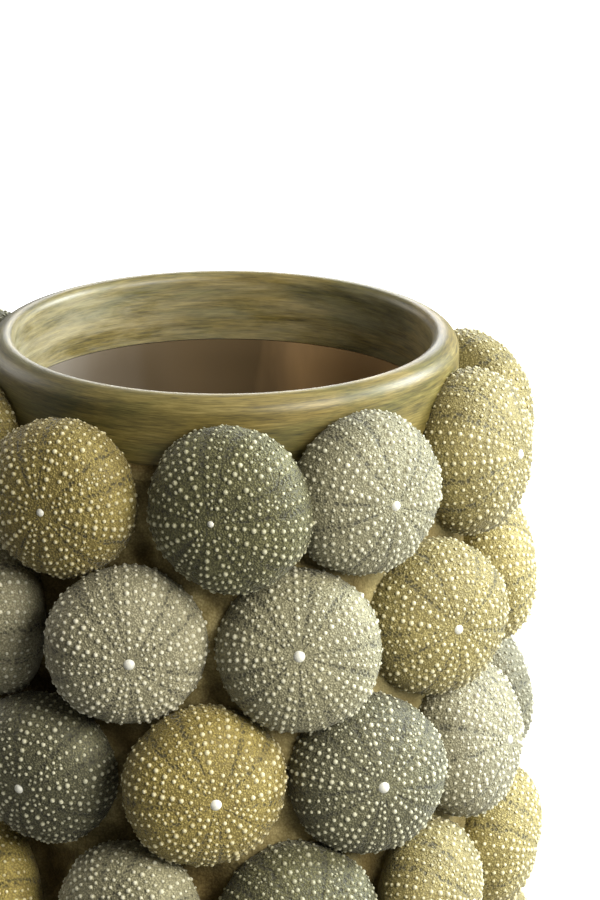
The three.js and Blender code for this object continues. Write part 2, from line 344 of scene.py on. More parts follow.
# lengths of the mortar's waves, each wave's height going with its length and full at UNIT_WAVE
WAVE_LENGTHS = (9 * MM, 5 * MM, 3 * MM)
UNIT_WAVE = 60 * MM
WAVES_EACH = 5
WAVE_RISE = 0.45 * MM
EDGE_WAVE = 1.6 * MM
EDGE_CLIMB = 2 * MM
FOOT_MARGIN = 1 * MM
FACE_TOLERANCE = 0.1 * MM

skirt_height = pot_rim_height - COLLAR_LAP
collar_outside = bed_radius(skirt_height)

# how far a test strays at most where nothing is given for it, and how fast that changes round the rows
STRAY = {
    "turn": (0.8, 2.4),
    "lift": (0.6, 1.7),
    "size": (0.02, 3.1),
    "yaw": (9, 4.3),
    "tip": (7, 5.2),
    "spin": (36, 1.9),
    "tone_and_light": (0.06, 2.7),
}
# each row's turn, and its tests from the front round to the right: turn, yaw, tip and spin in degrees,
# lift in mm, and the size of the test, the size of its knob and its brightness as factors; the brightness
# is partly the test's own tone and partly painted light and shade
SETTING_PLAN = [
    (0, [
        dict(glaze="sage", turn=2.1, lift=0.5, size=1.02, yaw=-23, tip=1, spin=-15, knob=0.65, tone_and_light=1.05),
        dict(glaze="stone", turn=-3.3, lift=1.9, size=1, yaw=3, tip=0, spin=2, tone_and_light=0.98),
        dict(glaze="straw", turn=1.2, lift=1, size=1.02, yaw=-8, tip=4, spin=18, tone_and_light=0.96),
        dict(glaze="straw", turn=-0.6, lift=-0.2, size=1, yaw=21, tip=-1, spin=5, tone_and_light=1.02),
        dict(glaze="straw", lift=3),
        dict(glaze="stone", turn=-1.5),
        dict(glaze="ochre", turn=-3),
        dict(glaze="dusk", turn=-6, lift=6),
        dict(glaze="ochre"),
        dict(glaze="ochre", turn=-1, lift=-1.2, size=0.98, yaw=14, tip=-1, spin=-2, knob=0.8, tone_and_light=0.97),
    ]),
    (18, [
        dict(glaze="stone", turn=-1.3, lift=-0.8, size=1, yaw=-16, tip=12, spin=31, knob=1.15, tone_and_light=1.1),
        dict(glaze="straw", turn=-1.6, lift=0.6, size=0.97, yaw=-23, tip=1, spin=11, tone_and_light=1.05),
        dict(glaze="straw", turn=0.9, lift=0.8, size=0.99, yaw=6, tip=4, spin=10, tone_and_light=1.25),
        dict(glaze="tan"),
        dict(glaze="sage"),
        dict(glaze="ochre"),
        dict(glaze="stone"),
        dict(glaze="dusk", turn=-2),
        dict(glaze="tan", turn=-2, lift=0, size=0.99, yaw=-24, tip=0, spin=30, tone_and_light=1.08),
        dict(glaze="tan", turn=-2.7, lift=0.8, size=0.995, yaw=25, tip=-4, spin=8, knob=1.15, tone_and_light=1.03),
    ]),
    (-4, [
        dict(glaze="ochre", turn=0.2, lift=2.3, size=1.005, yaw=18, tip=-2, spin=15, knob=1.15, tone_and_light=1.14),
        dict(glaze="dusk", turn=0.1, lift=1.5, size=0.995, yaw=-13, tip=3, spin=15, knob=1.15, tone_and_light=1.01),
        dict(glaze="tan", turn=-3.7, lift=0.4, size=0.98, yaw=0, tip=6, spin=-14, tone_and_light=0.94),
        dict(glaze="stone", turn=0, lift=-2.4, size=0.95, yaw=4, tip=12, spin=0, tone_and_light=0.74),
        dict(glaze="straw"),
        dict(glaze="tan"),
        dict(glaze="sage"),
        dict(glaze="ochre"),
        dict(glaze="straw"),
        dict(glaze="dusk", turn=-1, lift=1, size=0.975, yaw=11, tip=-10, spin=-1, tone_and_light=1.1),
    ]),
    (14, [
        dict(glaze="sage", turn=1.8, lift=1.2, size=1.01, yaw=3, tip=9, spin=24, tone_and_light=0.87),
        dict(glaze="straw", turn=-2, lift=-0.3, size=0.99, yaw=22, tip=-1, spin=19, tone_and_light=1),
        dict(glaze="straw", turn=0.2, lift=0.2, size=0.965, yaw=-5, tip=-10, spin=31, tone_and_light=1.27),
        dict(glaze="stone"),
        dict(glaze="dusk"),
        dict(glaze="tan"),
        dict(glaze="straw"),
        dict(glaze="stone"),
        dict(glaze="ochre", turn=1.8, lift=-3, size=0.965, yaw=-18, tip=-3, spin=3, tone_and_light=1.6),
        dict(glaze="stone", turn=2.8, lift=0.9, size=1, yaw=-15, tip=4, spin=-19, tone_and_light=1.35),
    ]),
    (-4, [dict(glaze=g) for g in "tan ochre stone straw sage dusk straw tan sage stone".split()]),
]


def set_tests():
    """Name, glaze and placing of every test, row by row from the neck down."""
    tests = []
    for row, (phase, plan) in enumerate(SETTING_PLAN):
        for index, given in enumerate(plan):
            number = row * TESTS_PER_ROW + index + 1
            loose = {kind: most * math.sin(pace * number) for kind, (most, pace) in STRAY.items()}
            loose["size"] += 1 - STRAY["size"][0]
            loose["tone_and_light"] += 1
            test = {**loose, **given}
            azimuth = math.radians(phase + test["turn"]) + index * step_angle
            height = top_row_height - row * row_pitch + test["lift"] * MM
            reach = setting_radius(height)
            facing = azimuth + math.radians(test["yaw"])
            turn = Euler((math.pi / 2 - math.radians(test["tip"]), 0, facing), "YXZ")
            test["name"] = f"urchin_row{row + 1}_{index + 1:02d}"
            test["placing"] = (
                Matrix.Translation((reach * math.sin(azimuth), -reach * math.cos(azimuth), height))
                @ turn.to_matrix().to_4x4()
                @ Matrix.Scale(test["size"], 4)
                @ Matrix.Rotation(math.radians(test["spin"]), 4, "Z")
            )
            tests.append(test)
    return tests


def note_values(mesh, name, values):
    """Keeps a value for every corner of a mesh under a name."""
    mesh.attributes.new(name, "FLOAT", "POINT").data.foreach_set("value", values.astype(np.float32))


tests = set_tests()

bed_top = skirt_height - JOINT_GAP
smear_top = skirt_height + BED_SMEAR
smear_radius = collar_outside + SMEAR_THICKNESS
smear_back = collar_outside - SMEAR_OVERLAP
bed_foot = (bed_radius(FOOT_CLEARANCE), FOOT_CLEARANCE)
bed_shoulder = (bed_radius(bed_top), bed_top)
bed_profile = [(pot_radius(FOOT_CLEARANCE) + JOINT_GAP, FOOT_CLEARANCE)]
bed_profile += stretch(bed_foot, bed_shoulder, steps=150)
bed_profile += stretch((smear_radius, skirt_height), (smear_radius, smear_top), steps=5)
bed_profile += [(smear_back, smear_top), (smear_back, bed_top)]
bed_profile += [(pot_radius(bed_top) + JOINT_GAP, bed_top), bed_profile[0]]
bed = turned("mortar_fill", bed_profile, sides=300)
places = corners(bed.data)
radius = np.hypot(places[:, 0], places[:, 1])
height = places[:, 2]
outer = np.where(height > bed_top + FACE_TOLERANCE, smear_radius, bed_radius(height))
face = (np.abs(radius - outer) < FACE_TOLERANCE) & (height > FOOT_CLEARANCE + FOOT_MARGIN)
crowd = np.zeros(len(places))
for test in tests:
    inverse = np.array(test["placing"].inverted())
    local = places @ inverse[:3, :3].T + inverse[:3, 3]
    depth = np.where(local[:, 2] > 0, TEST_CROWN, TEST_ORAL)
    level = np.hypot(np.hypot(local[:, 0], local[:, 1]) / (TEST_WIDTH / 2), local[:, 2] / depth)
    away = np.clip(level - 1, 0, None) * MEAN_TEST_RADIUS
    crowd += np.exp(-((away / FILLET_REACH) ** 2))
rng = np.random.default_rng(MORTAR_SEED)
waves = np.zeros(len(places))
for length in WAVE_LENGTHS:
    for _ in range(WAVES_EACH):
        direction = rng.normal(size=3)
        direction /= np.linalg.norm(direction)
        shift = rng.uniform(0, 6.3)
        waves += np.sin(places @ direction * (2 * math.pi / length) + shift) * length / UNIT_WAVE
under_neck = np.clip((smear_top - height) / BED_SMEAR, 0, 1)
pressed_up = FILLET_RISE * np.clip(crowd, 0, MOST_CROWD) + WAVE_RISE * waves
rise = np.where(face, pressed_up * under_neck, 0)
push_outward(places, rise)
up_smear = np.where(height > skirt_height - FACE_TOLERANCE, (height - skirt_height) / BED_SMEAR, 0)
places[:, 2] += up_smear * (EDGE_WAVE * waves + EDGE_CLIMB * (crowd - 1))
set_corners(bed.data, places)
note_values(bed.data, "rise", rise / FILLET_RISE)
bpy.ops.object.shade_smooth_by_angle(angle=math.radians(60))

mortar, shader = new_material("mortar")
tree = mortar.node_tree
where = add_node(tree, "ShaderNodeTexCoord")
blotch = add_node(tree, "ShaderNodeTexNoise", {"Scale": 90, "Detail": 5})
grains = add_node(tree, "ShaderNodeTexVoronoi", {"Scale": 1100})
grit = add_node(tree, "ShaderNodeTexNoise", {"Scale": 700, "Detail": 4})
tones = colour_ramp(
    tree,
    (0.3, (0.1, 0.08, 0.033)),
    (0.5, (0.23, 0.185, 0.078)),
    (0.7, (0.42, 0.35, 0.165)),
)
grain_tones = colour_ramp(tree, (0.1, (1, 1, 1)), (0.75, (0.45, 0.42, 0.36)))
speckle = add_node(tree, "ShaderNodeMixRGB", {"Fac": 0.7}, blend_type="MULTIPLY")
# Painted light: the mortar is made paler and yellower towards the right, where the lamps fall on it.
sideways = add_node(tree, "ShaderNodeSeparateXYZ")
right_light_share = add_node(tree, "ShaderNodeMapRange", {"From Min": 0.02, "From Max": 0.09, "To Max": 0.45})
right_lit_mortar = add_node(tree, "ShaderNodeMixRGB", {"Color2": (0.48, 0.42, 0.2, 1)})
# Painted shade: the mortar darkens where it is not pressed up against the tests, deep in the gaps between
# them.
raised = add_node(tree, "ShaderNodeAttribute", attribute_name="rise")
gap_shade_tones = colour_ramp(tree, (0.1, (0.5, 0.44, 0.36)), (0.9, (1, 1, 1)))
shaded = add_node(tree, "ShaderNodeMixRGB", {"Fac": 1}, blend_type="MULTIPLY")
relief = add_node(tree, "ShaderNodeBump", {"Distance": 0.6 * MM})
for texture in (blotch, grains, grit):
    tree.links.new(where.outputs["Object"], texture.inputs["Vector"])
tree.links.new(blotch.outputs["Fac"], tones.inputs["Fac"])
tree.links.new(grains.outputs["Distance"], grain_tones.inputs["Fac"])
tree.links.new(tones.outputs["Color"], speckle.inputs["Color1"])
tree.links.new(grain_tones.outputs["Color"], speckle.inputs["Color2"])
tree.links.new(where.outputs["Object"], sideways.inputs[0])
tree.links.new(sideways.outputs["X"], right_light_share.inputs["Value"])
tree.links.new(right_light_share.outputs[0], right_lit_mortar.inputs["Fac"])
tree.links.new(speckle.outputs["Color"], right_lit_mortar.inputs["Color1"])
tree.links.new(raised.outputs["Fac"], gap_shade_tones.inputs["Fac"])
tree.links.new(right_lit_mortar.outputs["Color"], shaded.inputs["Color1"])
tree.links.new(gap_shade_tones.outputs["Color"], shaded.inputs["Color2"])
tree.links.new(shaded.outputs["Color"], shader.inputs["Base Color"])
tree.links.new(grit.outputs["Fac"], relief.inputs["Height"])
tree.links.new(relief.outputs["Normal"], shader.inputs["Normal"])
set_values(shader, {"Roughness": 0.92, "Specular IOR Level": 0.15})
bed.data.materials.append(mortar)
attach(bed, "root")
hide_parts("mortar_bed")

# Neck collar: a turned ring with a rolled lip that sits on the pot's rim and laps over it. Olive
# paint is brushed on in level strokes, inside and outside, and varnished.
LIP_INNER_ROUND = 3.6 * MM
SHADE_AND_SHEEN_FADE = 6 * MM
CREST_MARGIN = 1 * MM

collar_inside = inside_radius(pot_rim_height)
crest_radius = collar_inside + LIP_INNER_ROUND
lip_outer_round = collar_outside - crest_radius
outside_top = crest_height - lip_outer_round
inside_top = crest_height - LIP_INNER_ROUND
collar_profile = [(pot_radius(pot_rim_height) + JOINT_GAP, pot_rim_height)]
collar_profile += [(pot_radius(skirt_height) + JOINT_GAP, skirt_height)]
collar_profile += stretch((collar_outside, skirt_height), (collar_outside, outside_top), steps=24)
collar_profile += arc((crest_radius, outside_top), lip_outer_round, 0, 90, steps=14)[1:]
collar_profile += arc((crest_radius, inside_top), LIP_INNER_ROUND, 90, 180, steps=10)[1:]
collar_profile += stretch((collar_inside, inside_top), (collar_inside, pot_rim_height), steps=20)[1:]
collar = turned("collar_with_rolled_lip", collar_profile + collar_profile[:1], sides=240)
places = corners(collar.data)
outline = np.array(collar_profile)
radius = np.hypot(places[:, 0], places[:, 1])
apart = (radius[:, None] - outline[:, 0]) ** 2 + (places[:, 2:] - outline[:, 1]) ** 2
lengths = np.concatenate([[0], np.cumsum(np.hypot(*np.diff(outline, axis=0).T))])
crest_length = lengths[np.argmax(outline[:, 1])]
note_values(collar.data, "across", lengths[np.argmin(apart, axis=1)])
bpy.ops.object.shade_smooth_by_angle(angle=math.radians(50))

olive, shader = new_material("olive_paint")
tree = olive.node_tree
where = add_node(tree, "ShaderNodeTexCoord")
parts = add_node(tree, "ShaderNodeSeparateXYZ")
across = add_node(tree, "ShaderNodeAttribute", attribute_name="across")
tree.links.new(where.outputs["Object"], parts.inputs[0])


def strokes(along, over, detail, offset, waver):
    """Noise drawn out along the rim: so many changes a metre along and over the strokes."""
    vector = add_node(tree, "ShaderNodeCombineXYZ")
    sources = [("X", parts.outputs["X"], along), ("Y", parts.outputs["Y"], along)]
    sources += [("Z", across.outputs["Fac"], over)]
    for axis, source, scale in sources:
        scaled = add_node(tree, "ShaderNodeMath", {1: scale, 2: offset}, operation="MULTIPLY_ADD")
        tree.links.new(source, scaled.inputs[0])
        tree.links.new(scaled.outputs[0], vector.inputs[axis])
    values = {"Scale": 1, "Detail": detail, "Roughness": 0.62, "Distortion": waver}
    noise = add_node(tree, "ShaderNodeTexNoise", values)
    tree.links.new(vector.outputs[0], noise.inputs["Vector"])
    return noise.outputs["Fac"]


broad = strokes(along=24, over=130, detail=5, offset=3.1, waver=0.55)
fine = strokes(along=52, over=900, detail=3, offset=8.7, waver=0.4)
fibres = strokes(along=160, over=2400, detail=2, offset=5.3, waver=0.2)
patches = strokes(along=14, over=50, detail=4, offset=1.7, waver=0.8)
stroke_sum = None
for noise, share in ((broad, 0.32), (fine, 0.37), (fibres, 0.31)):
    weighed = add_node(tree, "ShaderNodeMath", {1: share, 2: 0}, operation="MULTIPLY_ADD")
    tree.links.new(noise, weighed.inputs[0])
    if stroke_sum:
        tree.links.new(stroke_sum, weighed.inputs[2])
    stroke_sum = weighed.outputs[0]
tones = colour_ramp(
    tree,
    (0.36, (0.043, 0.034, 0.009)),
    (0.45, (0.104, 0.079, 0.019)),
    (0.53, (0.159, 0.12, 0.03)),
    (0.63, (0.244, 0.189, 0.06)),
)
tints = colour_ramp(
    tree,
    (0.36, (1.06, 1.02, 0.95)),
    (0.48, (0.96, 0.96, 0.94)),
    (0.6, (0.6, 0.67, 0.57)),
)
greened = add_node(tree, "ShaderNodeMixRGB", {"Fac": 1}, blend_type="MULTIPLY")
# Painted shade: the left of the collar is darkened and greened, most on the outer wall below the lip, less
# on the lip and inside.
outer_share = add_node(tree, "ShaderNodeMapRange", {"To Min": 0.5, "To Max": 0.8})
set_values(outer_share, {"From Min": crest_length - CREST_MARGIN, "From Max": crest_length - SHADE_AND_SHEEN_FADE})
left_shade_share = add_node(tree, "ShaderNodeMapRange", {"From Min": 0.03, "From Max": -0.07})
left_shaded = add_node(tree, "ShaderNodeMixRGB", {"Color2": (0.58, 0.62, 0.56, 1)}, blend_type="MULTIPLY")
# Painted sheen: pale cloudy patches lighten the inside of the collar, most on the left inner wall, which
# faces the key light.
inner_share = add_node(tree, "ShaderNodeMapRange")
set_values(inner_share, {"From Min": crest_length, "From Max": crest_length + SHADE_AND_SHEEN_FADE})
left_sheen_share = add_node(tree, "ShaderNodeMapRange", {"From Min": -0.015, "From Max": -0.085})
set_values(left_sheen_share, {"To Min": 0.16, "To Max": 0.26})
sheen_share = add_node(tree, "ShaderNodeMath", operation="MULTIPLY")
painted_sheen = add_node(tree, "ShaderNodeMapRange", {"From Min": 0.36, "From Max": 0.62})
sheen_lightened = add_node(tree, "ShaderNodeMixRGB", {"Color2": (0.44, 0.42, 0.33, 1)})
relief = add_node(tree, "ShaderNodeBump", {"Distance": 0.18 * MM})
tree.links.new(stroke_sum, tones.inputs["Fac"])
tree.links.new(patches, tints.inputs["Fac"])
tree.links.new(tones.outputs["Color"], greened.inputs["Color1"])
tree.links.new(tints.outputs["Color"], greened.inputs["Color2"])
tree.links.new(across.outputs["Fac"], outer_share.inputs["Value"])
tree.links.new(parts.outputs["X"], left_shade_share.inputs["Value"])
tree.links.new(outer_share.outputs[0], left_shade_share.inputs["To Max"])
tree.links.new(left_shade_share.outputs[0], left_shaded.inputs["Fac"])
tree.links.new(greened.outputs["Color"], left_shaded.inputs["Color1"])
tree.links.new(across.outputs["Fac"], inner_share.inputs["Value"])
tree.links.new(parts.outputs["X"], left_sheen_share.inputs["Value"])
tree.links.new(inner_share.outputs[0], sheen_share.inputs[0])
tree.links.new(left_sheen_share.outputs[0], sheen_share.inputs[1])
tree.links.new(broad, painted_sheen.inputs["Value"])
tree.links.new(sheen_share.outputs[0], painted_sheen.inputs["To Max"])
tree.links.new(painted_sheen.outputs[0], sheen_lightened.inputs["Fac"])
tree.links.new(left_shaded.outputs["Color"], sheen_lightened.inputs["Color1"])
tree.links.new(sheen_lightened.outputs["Color"], shader.inputs["Base Color"])
tree.links.new(stroke_sum, relief.inputs["Height"])
tree.links.new(relief.outputs["Normal"], shader.inputs["Normal"])
set_values(shader, {"Roughness": 0.6, "Specular IOR Level": 0.25})
set_values(shader, {"Coat Weight": 0.34, "Coat Roughness": 0.36})
collar.data.materials.append(olive)
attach(collar, "root")
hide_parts("neck_collar")

# Sea-urchin tests: thin castings taken from real tests. Five broad bands and five narrow ones run
# from the apex, each with its columns of raised beads among fine granules; rows of pores edge the
# narrow bands. Each is washed with its own colour, rubbed back to pale beads, and set in the mortar.
# The wash also stands as painted shade in the crevices and round the feet of the beads, and the
# whitest tips of the beads are partly a painted highlight.
TEST_FULLNESS = 0.9
TEST_LOBE = 0.5 * MM
LESSER_LOBE = 0.35
SECTORS = 5
SECTOR_DEGREES = 360 / SECTORS
SEAT_SINK = 2.5 * MM
KNOB_RADIUS = 2.4 * MM
BEAD_COLUMNS = [
    # degrees from the middle of the broad band, first bead's angle from the apex, radius and pitch in mm
    (10.5, 9, 1.2, 3.9),
    (31.0, 8, 0.88, 3.6),
    (3.6, 36, 0.88, 3.7),
    (17.6, 30, 0.88, 3.7),
    (34.9, 34, 0.5, 2.9),
]
# the two sides of a band, and how many pitches down the first bead of each stands
STAGGER = (1, 0.2), (-1, 0.65)
START_SPREAD = (0.85, 1.15)
SIZE_SPREAD = (0.86, 1.12)
PITCH_SPREAD = (0.88, 1.12)
COLUMN_STRAY = 0.4
STEADY_PITCH = 0.25
LOST_BEADS = 0.04
BEAD_GROWTH = (0, 10, 25, 55, 90, 114), (0.6, 0.78, 1, 1, 0.84, 0.72)
LAST_BEAD = math.radians(114)
LARGE_BEAD = 0.8 * MM
SMALL_BEAD = 0.51 * MM
APEX_BEADS = 15
APEX_RING = math.radians(6.2)
APEX_STRAY = 3
LESSER_BEADS = 900
LESSER_RADII = (0.36, 0.5)
GRANULES = 5000
GRANULE_RADII = (0.26, 0.42)
GOLDEN_ANGLE = math.pi * (3 - math.sqrt(5))
SPOT_STRAY = 0.45
TURN_STRAY = 0.012
BARE_APEX = 0.008
BEAD_ROOM = 1.25
SPOT_ROOM = 0.5
PORE_BAND = 0.165
PORE_MARGIN = 0.05
PORE_HALF_WIDTH = 0.052
# colour marks from foot to tip at shares of the height: washed below 0, pale at 1, rubbed bare above 1;
# the wash at the foot is also painted shade, and on the beads the rubbed tips are also a painted highlight
BEAD_MARKS = (0, 0.15, 0.35, 0.7, 1), (-0.7, 0, 0.5, 0.9, 1.25)
POINT_MARKS = (0, 0.3, 0.6, 1), (-1, -0.5, 0.3, 1)
GRANULE_MARKS = (0, 0.3, 0.6, 1), (-0.75, -0.4, 0.2, 0.9)
KNOB_MARKS = (0, 0.25, 0.4, 1), (-1, 0.6, 2, 2)
PATTERN_SEEDS = (3, 8, 21)


def surface(polar, around):
    """Points of the test; polar is 0 at the apex and pi at the mouth side."""
    ring = np.sin(polar) ** TEST_FULLNESS
    rise = np.cos(polar)
    height = np.where(rise > 0, TEST_CROWN, TEST_ORAL) * np.sign(rise) * np.abs(rise) ** TEST_FULLNESS
    lobes = np.cos(SECTORS * around) + LESSER_LOBE * np.cos(2 * SECTORS * around)
    radius = TEST_WIDTH / 2 * ring * (1 + TEST_LOBE / TEST_WIDTH * ring * lobes)
    return np.stack([radius * np.cos(around), radius * np.sin(around), height], axis=-1)


def outward(polar, around):
    """Directions straight out of the test."""
    step = 1e-4
    down = surface(polar + step, around) - surface(polar - step, around)
    side = surface(polar, around + step) - surface(polar, around - step)
    normal = np.cross(down, side)
    return normal / np.linalg.norm(normal, axis=-1, keepdims=True)


def taken_shape():
    """Corners and faces of the object in hand, which is then removed."""
    pattern = bpy.context.object
    shape = corners(pattern.data), [list(p.vertices) for p in pattern.data.polygons]
    bpy.data.objects.remove(pattern)
    return shape


def bead_shape(segments, rings):
    """A ball on a flared foot, as a pattern for the beads and the knob."""
    bpy.ops.object.select_all(action="DESELECT")
    bpy.ops.mesh.primitive_uv_sphere_add(segments=segments, ring_count=rings, radius=1)
    bpy.ops.object.mode_set(mode="EDIT")
    bpy.ops.mesh.select_all(action="SELECT")
    bpy.ops.mesh.bisect(plane_co=(0, 0, -0.3), plane_no=(0, 0, 1), clear_inner=True, use_fill=True)
    bpy.ops.transform.resize(value=(1.4, 1.4, 1), center_override=(0, 0, 0))
    bpy.ops.transform.translate(value=(0, 0, 0.14))
    bpy.ops.object.mode_set(mode="OBJECT")
    return taken_shape()


def point_shape(sides):
    """A low pyramid, as a pattern for the smallest beads and the granules."""
    bpy.ops.object.select_all(action="DESELECT")
    bpy.ops.mesh.primitive_cone_add(vertices=sides, radius1=1, depth=1.1, location=(0, 0, 0.25))
    bpy.ops.object.transform_apply(location=True, rotation=False, scale=False)
    return taken_shape()


large_bead = bead_shape(segments=7, rings=4)
middle_bead = bead_shape(segments=6, rings=3)
small_bead = point_shape(sides=5)
granule = point_shape(sides=3)
knob = bead_shape(segments=16, rings=8)
polar_steps = np.linspace(0.02, LAST_BEAD, 600)
meridian = surface(polar_steps, np.zeros_like(polar_steps))
meridian_length = np.concatenate([[0], np.cumsum(np.linalg.norm(np.diff(meridian, axis=0), axis=1))])


def bead_places(rng):
    """Polar angle, angle around and radius of every bead on one test."""
    beads = []
    for sector in range(SECTORS):
        for offset, first, radius, pitch in BEAD_COLUMNS:
            start = np.interp(math.radians(first), polar_steps, meridian_length)
            for side, pitches in STAGGER:
                along = start + pitch * MM * pitches * rng.uniform(*START_SPREAD)
                while along < meridian_length[-1]:
                    polar = np.interp(along, meridian_length, polar_steps)
                    growth = np.interp(math.degrees(polar), *BEAD_GROWTH)
                    degrees = SECTOR_DEGREES * sector + side * offset + rng.normal(0, COLUMN_STRAY)
                    size = radius * MM * growth * rng.uniform(*SIZE_SPREAD)
                    if rng.random() > LOST_BEADS:
                        beads.append((polar, math.radians(degrees), size))
                    closeness = STEADY_PITCH + (1 - STEADY_PITCH) * growth
                    along += pitch * MM * closeness * rng.uniform(*PITCH_SPREAD)
    for spot in range(APEX_BEADS):
        degrees = 360 / APEX_BEADS * spot + rng.normal(0, APEX_STRAY)
        beads.append((APEX_RING, math.radians(degrees), rng.uniform(*LESSER_RADII) * MM))
    return np.array(beads)


def band_share(around):
    """0 along the middle of a narrow band, 0.5 along the middle of a broad one."""
    return np.abs((around / math.radians(SECTOR_DEGREES)) % 1 - 0.5)


def scattered(rng, count, radii, beads):
    """Lesser beads spread evenly, left out where a larger one stands."""
    turn = np.arange(count) + rng.uniform(-SPOT_STRAY, SPOT_STRAY, count)
    share = np.clip(turn / count, BARE_APEX, 1)
    polar = np.arccos(1 - share * (1 - math.cos(LAST_BEAD)))
    around = np.floor(turn) * GOLDEN_ANGLE + rng.normal(0, TURN_STRAY, count)
    size = rng.uniform(*radii, count) * MM
    apart = surface(polar, around)[:, None] - surface(beads[:, 0], beads[:, 1])
    room = BEAD_ROOM * beads[:, 2] + SPOT_ROOM * size[:, None]
    clear = (np.linalg.norm(apart, axis=2) > room).all(axis=1)
    return np.stack([polar, around, size], axis=1)[clear]


def strewn(pattern, spots, lift, marks):
    """A pattern repeated at every spot: corners, faces and colour marks from its foot to its tip."""
    shape, faces = pattern
    polar, around, size = spots.T
    up = outward(polar, around)
    askew = (0.31, 0.17, 0.93)
    side = np.cross(up, askew)
    side /= np.linalg.norm(side, axis=1, keepdims=True)
    axes = np.stack([side, np.cross(up, side), up], axis=1)
    standing = (shape + (0, 0, lift)) @ axes
    places = surface(polar, around)[:, None] + size[:, None, None] * standing
    count = len(shape)
    repeated = [[corner + k * count for corner in face] for k in range(len(spots)) for face in faces]
    height = (shape[:, 2] - shape[:, 2].min()) / np.ptp(shape[:, 2])
    return places.reshape(-1, 3), repeated, np.interp(height, *marks)


def model_test(name, seed):
    """One whole test in its own frame: the shell, its beads and granules, and the knob."""
    rng = np.random.default_rng(seed)
    bpy.ops.object.select_all(action="DESELECT")
    bpy.ops.mesh.primitive_uv_sphere_add(segments=64, ring_count=32, radius=1)
    ball, faces = taken_shape()
    polar = np.arccos(np.clip(ball[:, 2], -1, 1))
    around = np.arctan2(ball[:, 1], ball[:, 0])
    places, marks, arounds = [surface(polar, around)], [np.zeros(len(ball))], [around]
    count = len(ball)
    beads = bead_places(rng)
    lesser = scattered(rng, LESSER_BEADS, LESSER_RADII, beads)
    off_pores = np.abs(band_share(lesser[:, 1]) - PORE_BAND) > PORE_MARGIN
    beads = np.concatenate([beads, lesser[off_pores]])
    size = beads[:, 2]
    middling = (size > SMALL_BEAD) & (size <= LARGE_BEAD)
    knob_spot = np.array([[0.001, rng.uniform(0, 6), KNOB_RADIUS]])
    sorts = [
        # pattern, spots, lift in radii, colour marks, least and most whiteness
        (large_bead, beads[size > LARGE_BEAD], -0.05, BEAD_MARKS, (0.7, 1)),
        (middle_bead, beads[middling], 0, BEAD_MARKS, (0.55, 0.95)),
        (small_bead, beads[size <= SMALL_BEAD], 0, POINT_MARKS, (0.3, 0.75)),
        (granule, scattered(rng, GRANULES, GRANULE_RADII, beads), -0.08, GRANULE_MARKS, (0.08, 0.45)),
        (knob, knob_spot, -0.52, KNOB_MARKS, (1, 1)),
    ]
    for pattern, spots, lift, pattern_marks, whiteness in sorts:
        strewn_places, strewn_faces, scale = strewn(pattern, spots, lift, pattern_marks)
        places.append(strewn_places)
        faces += [[corner + count for corner in face] for face in strewn_faces]
        count += len(strewn_places)
        white = rng.uniform(*whiteness, len(spots))[:, None]
        marks.append(np.where(scale > 0, scale * white, scale).ravel())
        arounds.append(np.repeat(spots[:, 1], len(scale)))
    mesh = bpy.data.meshes.new(name)
    mesh.from_pydata(np.concatenate(places).tolist(), [], faces)
    note_values(mesh, "bead", np.concatenate(marks))
    note_values(mesh, "band", band_share(np.concatenate(arounds)))
    mesh.polygons.foreach_set("use_smooth", np.ones(len(mesh.polygons), dtype=bool))
    mesh.update()
    return mesh


patterns = [model_test(f"test_pattern_{seed}", seed) for seed in PATTERN_SEEDS]

# colours of the ground, of the wash in the hollows, which is also painted shade there, and of the beads
GLAZES = {
    "ochre": ((0.306, 0.242, 0.066), (0.09, 0.064, 0.012), (0.53, 0.478, 0.29)),
    "straw": ((0.3, 0.249, 0.088), (0.095, 0.074, 0.019), (0.5, 0.458, 0.29)),
    "sage": ((0.156, 0.147, 0.06), (0.027, 0.025, 0.009), (0.39, 0.373, 0.245)),
    "stone": ((0.283, 0.262, 0.157), (0.095, 0.087, 0.046), (0.45, 0.431, 0.316)),
    "tan": ((0.339, 0.312, 0.194), (0.107, 0.096, 0.052), (0.56, 0.534, 0.406)),
    "dusk": ((0.166, 0.156, 0.082), (0.03, 0.028, 0.014), (0.48, 0.46, 0.325)),
}
PORE_COLOUR = (0.02, 0.018, 0.01)
PORE_STRENGTH = 0.74
WASH_AND_SHADE_STRENGTH = 0.8
RUBBED_AND_HIGHLIGHT_COLOUR = (0.58, 0.57, 0.5)

test_skin = bpy.data.node_groups.new("washed_test", "ShaderNodeTree")
for label in ("Ground", "Wash", "Bead"):
    test_skin.interface.new_socket(name=label, in_out="INPUT", socket_type="NodeSocketColor")
test_skin.interface.new_socket(name="Color", in_out="OUTPUT", socket_type="NodeSocketColor")
test_skin.interface.new_socket(name="Roughness", in_out="OUTPUT", socket_type="NodeSocketFloat")
test_skin.interface.new_socket(name="Height", in_out="OUTPUT", socket_type="NodeSocketFloat")
given = add_node(test_skin, "NodeGroupInput")
result = add_node(test_skin, "NodeGroupOutput")
where = add_node(test_skin, "ShaderNodeTexCoord")
grit = add_node(test_skin, "ShaderNodeTexVoronoi", {"Scale": 1150})
pits = add_node(test_skin, "ShaderNodeTexVoronoi", {"Scale": 640})
patches = add_node(test_skin, "ShaderNodeTexNoise", {"Scale": 70, "Detail": 4})
for texture in (grit, pits, patches):
    test_skin.links.new(where.outputs["Object"], texture.inputs["Vector"])


def calc(operation, *values, clamp=False):
    """The result of a sum on numbers and node outputs."""
    node = add_node(test_skin, "ShaderNodeMath", operation=operation, use_clamp=clamp)
    for socket, value in zip(node.inputs, values):
        if isinstance(value, (int, float)):
            socket.default_value = value
        else:
            test_skin.links.new(value, socket)
    return node.outputs[0]


